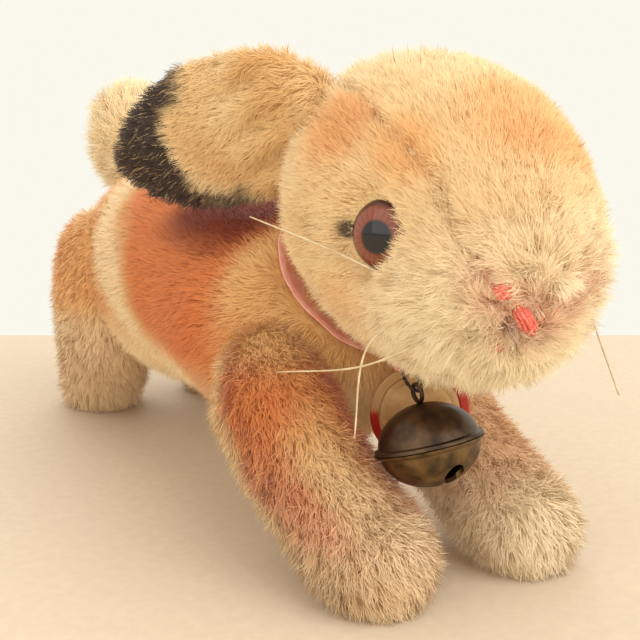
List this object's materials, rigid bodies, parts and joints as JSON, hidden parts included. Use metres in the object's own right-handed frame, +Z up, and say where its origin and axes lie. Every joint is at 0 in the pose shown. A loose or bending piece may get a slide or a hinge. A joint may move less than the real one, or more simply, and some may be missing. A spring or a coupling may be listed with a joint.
{
  "type": "plush rabbit",
  "caption": "Crouching running rabbit in airbrushed mohair plush with a disc-jointed head, floppy ears, glass eyes, neck ribbon, jingle bell and round chest tag.",
  "frame": {"origin": "on the floor, under the middle of the bounding box", "axes": "+Z up, the rabbit faces -Y, its left side is +X"},
  "size_m": [0.075, 0.1828, 0.0934],
  "materials": {
    "mohair": "long brushed mohair pile, airbrushed with rust stripes",
    "mohair_paw": "shorter mohair pile, greyer at the paws",
    "mohair_tail": "fluffy cream mohair",
    "mohair_ear": "mohair, cream with a dark airbrushed tip",
    "mohair_ear_inner": "short mohair",
    "wood_wool": "fine wood shavings packed tight",
    "eye_glass": "glossy brown glass with a black pupil",
    "steel_wire": "plain bright steel",
    "fibreboard": "pressed fibreboard",
    "embroidery": "coral stranded cotton",
    "nylon": "translucent pale monofilament",
    "silk_ribbon": "pink silk, soft sheen",
    "antique_brass": "antiqued, rubbed brighter at edges",
    "thread": "waxed brown thread",
    "tag_card": "tan card",
    "tag_rim": "red lacquered card"
  },
  "bodies": {
    "body": {"body_cover": "mohair", "body_stuffing": "wood_wool", "neck_disc_body": "fibreboard", "neck_washer_body": "steel_wire", "neck_split_pin": "steel_wire", "tail_cover": "mohair_tail", "tail_stuffing": "wood_wool", "front_leg_left_cover": "mohair_paw", "front_leg_left_stuffing": "wood_wool", "hind_leg_left_cover": "mohair_paw", "hind_leg_left_stuffing": "wood_wool", "front_leg_right_cover": "mohair_paw", "front_leg_right_stuffing": "wood_wool", "hind_leg_right_cover": "mohair_paw", "hind_leg_right_stuffing": "wood_wool", "closing_seam": "thread", "neck_ribbon": "silk_ribbon", "ribbon_knot": "silk_ribbon"},
    "head": {"head_cover": "mohair", "head_stuffing": "wood_wool", "neck_disc_head": "fibreboard", "neck_washer_head": "steel_wire", "eye_glass_left": "eye_glass", "eye_shank_left": "steel_wire", "eye_glass_right": "eye_glass", "eye_shank_right": "steel_wire", "nose_stitches": "embroidery", "mouth_stitch": "embroidery", "whisker_upper_left": "nylon", "whisker_middle_left": "nylon", "whisker_lower_left": "nylon", "whisker_upper_right": "nylon", "whisker_middle_right": "nylon", "whisker_lower_right": "nylon"},
    "ear_left": {"ear_left_back": "mohair_ear", "ear_left_inner": "mohair_ear_inner"},
    "ear_right": {"ear_right_back": "mohair_ear", "ear_right_inner": "mohair_ear_inner"},
    "bell_hanger": {"bell_thread": "thread"},
    "bell": {"bell_upper_shell": "antique_brass", "bell_lower_shell": "antique_brass", "bell_loop": "antique_brass"},
    "pellet": {"bell_pellet": "steel_wire"},
    "tag": {"tag_card": "tag_card", "tag_rim": "tag_rim", "tag_thread": "thread"}
  },
  "joints": [
    {"name": "head_swivel", "type": "hinge", "parent": "body", "child": "head", "pos_m": [0, -0.03707, 0.052], "axis": [0, -0.7431, 0.6691], "range_deg": [-30, 30]},
    {"name": "ear_left_flop", "type": "hinge", "parent": "head", "child": "ear_left", "pos_m": [0.0185, -0.04007, 0.082], "axis": [-0.4256, 0.0218, -0.9047], "range_deg": [-4, 45]},
    {"name": "ear_right_flop", "type": "hinge", "parent": "head", "child": "ear_right", "pos_m": [-0.0185, -0.04007, 0.082], "axis": [-0.4256, -0.0218, 0.9047], "range_deg": [-4, 45]},
    {"name": "bell_side_swing", "type": "hinge", "parent": "body", "child": "bell_hanger", "pos_m": [-0.0065, -0.06018, 0.03927], "axis": [0, -1, 0], "range_deg": [-3, 15]},
    {"name": "bell_lift", "type": "hinge", "parent": "bell_hanger", "child": "bell", "pos_m": [-0.00659, -0.0642, 0.03586], "axis": [-1, 0, 0], "range_deg": [0, 22]},
    {"name": "pellet_rattle", "type": "slide", "parent": "bell", "child": "pellet", "axis": [-0.1052, 0.284, 0.953], "range_m": [0, 0.008]},
    {"name": "tag_swing", "type": "hinge", "parent": "body", "child": "tag", "pos_m": [0.0003, -0.05448, 0.0384], "axis": [-0.4226, -0.9063, 0], "range_deg": [-6, 3]}
  ]
}
